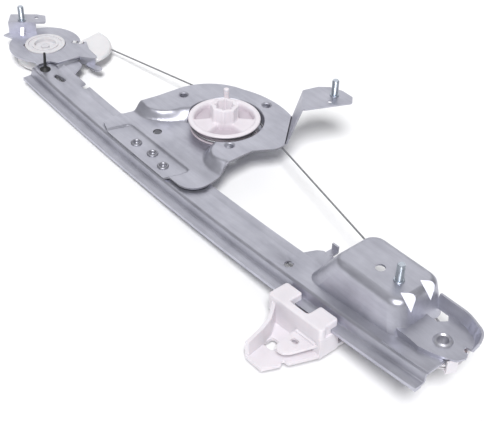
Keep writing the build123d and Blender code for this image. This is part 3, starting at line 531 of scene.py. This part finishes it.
def in_window(x, y, z):
    """Whether a point of the cup's wall lies in one of its two windows."""
    for heading, x0, x1, y0, y1, z0, z1 in WINDOWS:
        t = math.radians(heading)
        along = x * math.cos(t) + y * math.sin(t)
        across = -x * math.sin(t) + y * math.cos(t)
        if x0 < along < x1 and y0 < across < y1 and z0 < z < z1:
            return True
    return False


def in_hole(x, y, room=0.0):
    """Whether a point lies in one of the sheet's round holes, or closer than room to it."""
    return any(math.hypot(x - hx, y - hy) < r + room for hx, hy, r in HOLES)


def spread(outline, step):
    """Points along a closed outline, no further apart than step."""
    out = []
    for (ax, ay), (bx, by) in zip(outline, outline[1:] + outline[:1]):
        n = max(1, math.ceil(math.hypot(bx - ax, by - ay) / step))
        out += [(ax + (bx - ax) * i / n, ay + (by - ay) * i / n) for i in range(n)]
    return out


def triangle_grid(step, rise, columns, rows):
    """Points in staggered rows."""
    return [(step * (i + 0.5 * (j % 2)), rise * j) for j in rows for i in columns]


def sheet_points():
    """Points of the flat sheet, and the edges of its outline and holes among them."""
    loops = [spread(PLATE_OUTLINE, 1.6), circle(0, 0, SPIGOT_R, 48), circle(*DRAIN, 28)]
    loops += [circle(x, y, MOTOR_R, 28) for x, y in MOTOR_HOLES]
    loops += [circle(x, y, CLINCH_HOLE_R, 20) for x, y in CLINCHES]
    points, edges = [], []
    for loop in loops:
        first = len(points)
        points += loop
        edges += [(first + i, first + (i + 1) % len(loop)) for i in range(len(loop))]
    # closer rows where the sheet bends: round the motor's holes, along the cup's wall, along the pad's edge
    bends = []
    for x, y in MOTOR_HOLES:
        for r in (3.9, 4.5, 5.3):
            bends += circle(x, y, r, 28)
    for r in (31.6, 32.2, 32.55, 32.9, 33.25, 33.6, 33.95, 34.3, 34.8):
        bends += circle(0, 0, r, 168)
    for grow in (0.0, 0.5, 1.0, 1.5):
        bends += [(x, y + grow * (1 if y > -64 else 0)) for x, y in spread(PAD, 1.4)]
    wall = [(x, y) for x, y in triangle_grid(0.75, 0.65, range(-100, 75), range(-78, 0))
            if math.hypot(x, y) > 35.2 and depth_in(x, y, SHOULDER) > -1.5 and depth_in(x, y, FOOT) < 1.5]
    rest = triangle_grid(1.35, 1.35 * 0.866, range(-60, 52), range(-75, 50))
    cells = {}

    def keep(x, y):
        cells.setdefault((round(x / 2), round(y / 2)), []).append((x, y))

    def crowded(x, y, room):
        i, j = round(x / 2), round(y / 2)
        near = [p for a in (i - 1, i, i + 1) for b in (j - 1, j, j + 1) for p in cells.get((a, b), ())]
        return any((px - x) ** 2 + (py - y) ** 2 < room * room for px, py in near)

    for x, y in points:
        keep(x, y)
    edge_room, hole_room = 0.6, 0.1
    for group, room in ((bends, 0.22), (wall, 0.4), (rest, 0.75)):
        for x, y in group:
            if crowded(x, y, room) or depth_in(x, y, PLATE_OUTLINE) < edge_room or in_hole(x, y, hole_room):
                continue
            points.append((x, y))
            keep(x, y)
    return points, edges


def from_hole(v, hole):
    """Distance in plan from a vertex to the middle of a hole."""
    return math.hypot(v.co.x / MM - hole[0], v.co.y / MM - hole[1])


def even_out(bm):
    """Smooths the pressed wall between the two levels, clear of the cup and the motor's holes."""
    front, back, cup_clear, hole_clear, passes = -52, -6, 0.0358, 6, 16
    wall = [v for v in bm.verts if not v.is_boundary and front < v.co.y / MM < back
            and v.co.xy.length > cup_clear and all(from_hole(v, hole) > hole_clear for hole in MOTOR_HOLES)]
    for _ in range(passes):
        bmesh.ops.smooth_vert(bm, verts=wall, factor=0.5, use_axis_z=True)


def draw_collars(bm):
    """Draws the holes for the motor's screws down into collars."""
    near = 0.1
    rims = [e for e in bm.edges if e.is_boundary and any(
        all(abs(from_hole(v, hole) - MOTOR_R) < near for v in e.verts) for hole in MOTOR_HOLES)]
    for drop in COLLAR_STEPS:
        made = bmesh.ops.extrude_edge_only(bm, edges=rims)["geom"]
        for v in (g for g in made if isinstance(g, bmesh.types.BMVert)):
            v.co.z -= MM * drop
        rims = [g for g in made if isinstance(g, bmesh.types.BMEdge) and g.is_boundary]


def face_up(bm):
    """Turns the sheet's faces so that its top is outside."""
    bmesh.ops.recalc_face_normals(bm, faces=bm.faces)
    if sum(f.normal.z * f.calc_area() for f in bm.faces) < 0:
        bmesh.ops.reverse_faces(bm, faces=bm.faces)


def drum_plate_sheet():
    """The pressed sheet in one piece: its top face first, then its thickness."""
    points, edges = sheet_points()
    verts, _, faces, _, _, _ = delaunay_2d_cdt([Vector(p) for p in points], edges, [], 0, 1e-5)
    bm = bmesh.new()
    made = [bm.verts.new((MM * v.x, MM * v.y, MM * plate_top(v.x, v.y))) for v in verts]
    for face in faces:
        x, y, z = (sum(made[i].co[k] for i in face) / len(face) / MM for k in range(3))
        if not inside(x, y, PLATE_OUTLINE) or in_hole(x, y):
            continue
        if math.hypot(x, y) > CUP_SIDE_R and in_window(x, y, z):
            continue
        bm.faces.new([made[i] for i in face])
    bmesh.ops.delete(bm, geom=[v for v in bm.verts if not v.link_faces], context="VERTS")
    bmesh.ops.dissolve_degenerate(bm, edges=bm.edges, dist=1e-5)
    face_up(bm)
    even_out(bm)
    draw_collars(bm)
    face_up(bm)
    obj = made_object("drum_plate_sheet", bm)
    thin = obj.data
    thin.shade_smooth()
    solid = obj.modifiers.new("sheet", "SOLIDIFY")
    solid.thickness = MM * SHEET
    solid.offset = -1
    solid.use_even_offset = False
    # the rim faces take the second, darker material: painted shade along the sheet's edges
    solid.material_offset_rim = 1
    obj.data.materials.append(ZINC)
    obj.data.materials.append(RIM_PAINTED_SHADE)
    obj.data = applied(obj)
    obj.modifiers.clear()
    bpy.data.meshes.remove(thin)
    obj.data.set_sharp_from_angle(angle=math.radians(55))
    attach(obj, "frame")
    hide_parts("drum_plate")


def stud_arm():
    """The arm that carries the third stud, cut from the plate's solid where it leaves the sheet."""
    bm = bmesh.new()
    bm.from_mesh(NODES["drum_plate"].data)
    bmesh.ops.remove_doubles(bm, verts=bm.verts, dist=1e-6)
    # square to the plate's edge from its corner at (59.6, 16.5), and 0.6 mm inside that edge
    outward = Vector((31.9, 27.2, 0)).normalized()
    cut_at = Vector((0.0596, 0.0165, 0)) - 0.0006 * outward
    bmesh.ops.bisect_plane(bm, geom=bm.verts[:] + bm.edges[:] + bm.faces[:], dist=1e-7,
                           plane_co=cut_at, plane_no=outward, clear_inner=True)
    bmesh.ops.holes_fill(bm, edges=[e for e in bm.edges if e.is_boundary])
    bmesh.ops.recalc_face_normals(bm, faces=bm.faces)
    obj = made_object("drum_plate_arm", bm)
    dull_edges(obj, MOULDED_EDGE)
    obj.data.materials.append(ZINC)
    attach(obj, "frame")
    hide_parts("drum_plate")


drum_plate_sheet()
stud_arm()


# Clinched rivets

# radius and height from the web's top: the head under the web, the shank, the cup's outside and its inside
CLINCH_PROFILE = [
    (0.2, -2.0), (3.6, -2.0), (3.8, -1.85), (3.8, -1.51), (2.5, -1.5), (2.5, 1.52), (4.85, 1.52),
    (4.9, 1.85), (4.6, 2.3), (4.1, 2.58), (3.6, 2.6), (3.2, 2.35), (2.7, 1.4), (2.2, 0.4), (1.7, -0.2),
    (0.9, -0.42), (0.2, -0.45)]


def clinch(n, x, y):
    """A riveted joint with its punched cup, in place of the flat CAD button."""
    obj = lathe("clinch_rivet_%d_cup" % n, [(MM * r, MM * z) for r, z in CLINCH_PROFILE], 36)
    lean = Matrix.Rotation(-math.asin((x - WEB_CENTRE[0]) / WEB_R), 4, "Y")
    obj.data.transform(Matrix.Translation((MM * x, MM * y, MM * web_mid(x))) @ lean)
    shade(obj, 60)
    obj.data.materials.append(CLINCH)
    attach(obj, "frame")
    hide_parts("clinch_rivet_%d" % n)


for number, (x, y) in enumerate(CLINCHES, start=1):
    clinch(number, x, y)


# Cable drum

RIM_R, LOW_RIM_R, BARREL_R = 31.0, 29.2, 26.9
RIM_TOP, HUB_TOP = 2.2, 14.5
HUB_R, HUB_LOBE = 11.1, 0.9
SOCKET_R, SOCKET_LOBE, SOCKET_FLOOR = 7.1, 1.3, -5.0
LOBES = 8
DRUM_SPIGOT_R = 8.0
PITCH = 1.8                         # of the groove that the cable lies in
CABLE_PASSES, CABLE_HEIGHT = 99.73, -2.4   # a heading in degrees and the cable's height there
POCKETS = (-158, -38, 82)           # where the three pockets in the drum's top face lie, in degrees
POCKET_HALF, POCKET_DEPTH = 37, 4.0
DRUM_SIDES = 200


def drum_top(r, a):
    """Height of the drum's top face: three pockets between wings that join the hub to the rim."""
    z = RIM_TOP - 0.7 * smooth((27.4 - r) / 1.2)
    for middle in POCKETS:
        off = abs((math.degrees(a) - middle + 180) % 360 - 180)
        side = smooth((POCKET_HALF - off) * math.radians(1) * r / 4.0)
        z -= POCKET_DEPTH * side * smooth((26.4 - r) / 2.2) * smooth((r - 11) / 2.0)
    return z - 0.7 * smooth((r - 30.1) / 0.9) ** 2


def hub_rows(angles):
    """From the socket's floor up its lobed wall, over the hub's top and down the hub's outside."""
    lobes = [max(0.0, math.cos(LOBES * a)) for a in angles]
    socket = [SOCKET_R + SOCKET_LOBE * lobe ** 0.7 for lobe in lobes]
    hub = [HUB_R + HUB_LOBE * lobe for lobe in lobes]
    rows = [[(s * share, SOCKET_FLOOR) for s in socket] for share in (0.25, 0.6, 0.94, 1.0)]
    for grow, z in ((0, -4.6), (0, 13.9), (0.35, 14.4), (0.8, HUB_TOP)):
        rows.append([(s + grow, z) for s in socket])
    for grow, z in ((-0.8, HUB_TOP), (-0.2, 14.2), (0, 13.6), (0, 4.0)):
        rows.append([(h + grow, z) for h in hub])
    return hub, rows


def top_rows(angles, hub):
    """From the hub's foot over the pockets and wings to the rim."""
    rows = []
    for grow, up in ((0.05, 1.2), (0.35, 0.45), (1.0, 0.0)):
        rows.append([(h + grow, drum_top(h + grow, a) + up) for h, a in zip(hub, angles)])
    steps = 37
    for k in range(1, steps + 1):
        radii = [h + 1.0 + (RIM_R - h - 1.0) * k / steps for h in hub]
        rows.append([(r, drum_top(r, a)) for r, a in zip(radii, angles)])
    return rows


def barrel_rows(angles, low):
    """Down the barrel with its groove, which is left-handed like the cable's lay in it."""
    top, bottom, steps = 0.5, low + 0.75, 44
    rows = []
    for k in range(1, steps):
        z = top + (bottom - top) * k / steps
        row = []
        for a in angles:
            turn = (CABLE_PASSES - math.degrees(a)) / 360
            lay = (z - CABLE_HEIGHT - PITCH * turn) / PITCH % 1
            row.append((BARREL_R - 0.4 + 0.6 * smooth(1 - 2 * abs(lay - 0.5)), z))
        rows.append(row)
    return rows


def drum():
    """The drum as one moulding, in rows of (radius, height) from its socket's middle round to its foot's."""
    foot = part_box("cable_drum")[0][2] / MM
    low = -CUP_DEPTH + 0.25
    angles = [2 * math.pi * i / DRUM_SIDES for i in range(DRUM_SIDES)]
    hub, rows = hub_rows(angles)
    rows += top_rows(angles, hub)
    rim = [(RIM_R, 1.2), (RIM_R, 0.85), (RIM_R - 0.3, 0.7), (BARREL_R + 0.4, 0.55)]
    rows += [[point] * DRUM_SIDES for point in rim]
    rows += barrel_rows(angles, low)
    under = [(BARREL_R + 0.4, low + 0.8), (LOW_RIM_R - 0.3, low + 0.7), (LOW_RIM_R, low + 0.55),
             (LOW_RIM_R, low + 0.2), (LOW_RIM_R - 0.5, low), (DRUM_SPIGOT_R + 0.4, low),
             (DRUM_SPIGOT_R, low - 0.3), (DRUM_SPIGOT_R, foot + 0.4), (DRUM_SPIGOT_R - 0.4, foot),
             (4.0, foot), (1.0, foot)]
    rows += [[point] * DRUM_SIDES for point in under]
    bm = bmesh.new()
    made = []
    for row in rows:
        made.append([bm.verts.new((MM * r * math.cos(a), MM * r * math.sin(a), MM * z))
                     for (r, z), a in zip(row, angles)])
    wrap(bm, made, flip=True)
    bm.faces.new(made[0])
    bm.faces.new(list(reversed(made[-1])))
    bmesh.ops.recalc_face_normals(bm, faces=bm.faces)
    obj = made_object("cable_drum_moulding", bm)
    shade(obj, 42)
    obj.data.materials.append(DRUM)
    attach(obj, "drum")
    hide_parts("cable_drum")


drum()


# Cable guide, thinner towards the rail than its solid

GUIDE_CUT = (-186, -33)             # a point in plan of the cut's near edge, which runs at 45 degrees
GUIDE_LEVEL, GUIDE_LEVEL_X = -9.6, -180   # height of the sloping cut, and the x where it has that height
GUIDE_SLOPE = 0.19                  # of the cut, along x
CUT_REACH, CUT_LOW = 60, -40        # the cut goes well past the lobe, to the sides, out and down
DIAGONAL = 0.7071


def cut_away(node, corners, low):
    """A copy of a node's mesh without the space under a sloping patch, given by its four corners."""
    bm = bmesh.new()
    top = [bm.verts.new([MM * c for c in p]) for p in corners]
    base = [bm.verts.new((MM * x, MM * y, MM * low)) for x, y, _ in corners]
    bm.faces.new(top)
    bm.faces.new(base)
    wrap(bm, [top, base])
    bmesh.ops.recalc_face_normals(bm, faces=bm.faces)
    tool = made_object("tool", bm)
    copy = link_object("copy", NODES[node].data.copy())
    weld = copy.modifiers.new("weld", "WELD")
    weld.merge_threshold = JOIN
    cut = copy.modifiers.new("cut", "BOOLEAN")
    cut.operation = "DIFFERENCE"
    cut.solver = "EXACT"
    cut.object = tool
    mesh = applied(copy)
    for obj in (tool, copy):
        data = obj.data
        bpy.data.objects.remove(obj)
        bpy.data.meshes.remove(data)
    return mesh


def guide_corner(along, out):
    """A corner of the sloping cut, from distances along its near edge and out from it."""
    x = GUIDE_CUT[0] + DIAGONAL * (along + out)
    y = GUIDE_CUT[1] + DIAGONAL * (out - along)
    return (x, y, GUIDE_LEVEL + GUIDE_SLOPE * (x - GUIDE_LEVEL_X))


def cable_guide():
    """The translucent moulding with its lobe thinned from below."""
    reach = CUT_REACH
    corners = [guide_corner(*spot) for spot in ((reach, 0), (reach, reach), (-reach, reach), (-reach, 0))]
    obj = link_object("cable_guide_moulding", cut_away("cable_guide", corners, CUT_LOW))
    obj.data.materials.clear()
    obj.data.materials.append(CLEAR)
    dull_edges(obj, GUIDE_EDGE, 3, clean_up=False)
    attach(obj, "frame")
    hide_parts("cable_guide")


cable_guide()


# Stage: floor, light and camera

def plane_object(name, centre, normal, half):
    """A big flat floor through a point, square to a normal."""
    n = Vector(normal).normalized()
    u = n.cross(Vector((0, 1, 0))).normalized()
    v = n.cross(u)
    mesh = bpy.data.meshes.new(name)
    corners = [Vector(centre) + half * (a * u + b * v) for a, b in ((-1, -1), (1, -1), (1, 1), (-1, 1))]
    mesh.from_pydata([tuple(c) for c in corners], [], [(0, 1, 2, 3)])
    return link_object(name, mesh)


# the part lies on its carrier and on the cable guide at the upper end
FLOOR_POINT = (-0.2274, -0.0369, -0.01375)
FLOOR_NORMAL = (0.059, -0.0418, 0.9974)
FLOOR_HALF = 4.0
floor = plane_object("floor", FLOOR_POINT, FLOOR_NORMAL, FLOOR_HALF)
floor.data.materials.append(white_paper())


def area_light(name, where, target, size, energy):
    """A rectangular light at a place, turned to a target."""
    data = bpy.data.lights.new(name, "AREA")
    data.shape = "RECTANGLE"
    data.size, data.size_y = size
    data.energy = energy
    obj = link_object(name, data)
    obj.location = where
    direction = Vector(target) - Vector(where)
    obj.rotation_euler = direction.to_track_quat("-Z", "Y").to_euler()


def sun_light(name, towards, strength, softness):
    """A sun in a direction, as wide as softness in degrees."""
    data = bpy.data.lights.new(name, "SUN")
    data.energy = strength
    data.angle = math.radians(softness)
    obj = link_object(name, data)
    obj.rotation_euler = Vector(towards).to_track_quat("Z", "Y").to_euler()


sun_light("key", (0.42, -0.40, 0.82), 2.9, 22)
area_light("back", (-1.2, 1.1, 1.3), (0, 0, 0), (2.2, 1.6), 9)

world = bpy.data.worlds.new("studio")
world.use_nodes = True
background = next(n for n in world.node_tree.nodes if n.type == "BACKGROUND")
background.inputs["Color"].default_value = (0.97, 0.975, 1.0, 1)
background.inputs["Strength"].default_value = 0.30
bpy.context.scene.world = world

camera_data = bpy.data.cameras.new("camera")
camera_data.sensor_width = 36.0
camera_data.lens = 72.55
camera_data.clip_start = 0.01
camera = link_object("camera", camera_data)
right = Vector((0.64511, 0.76363, 0.02653))
down = Vector((0.48806, -0.38510, -0.78326))
forward = Vector((-0.58790, 0.51824, -0.62113))
turn = Matrix((right, -down, -forward)).transposed().to_4x4()
camera.matrix_world = Matrix.Translation(Vector((0.5377, -0.45035, 0.4567))) @ turn
bpy.context.scene.camera = camera
bpy.context.scene.view_settings.view_transform = "Standard"
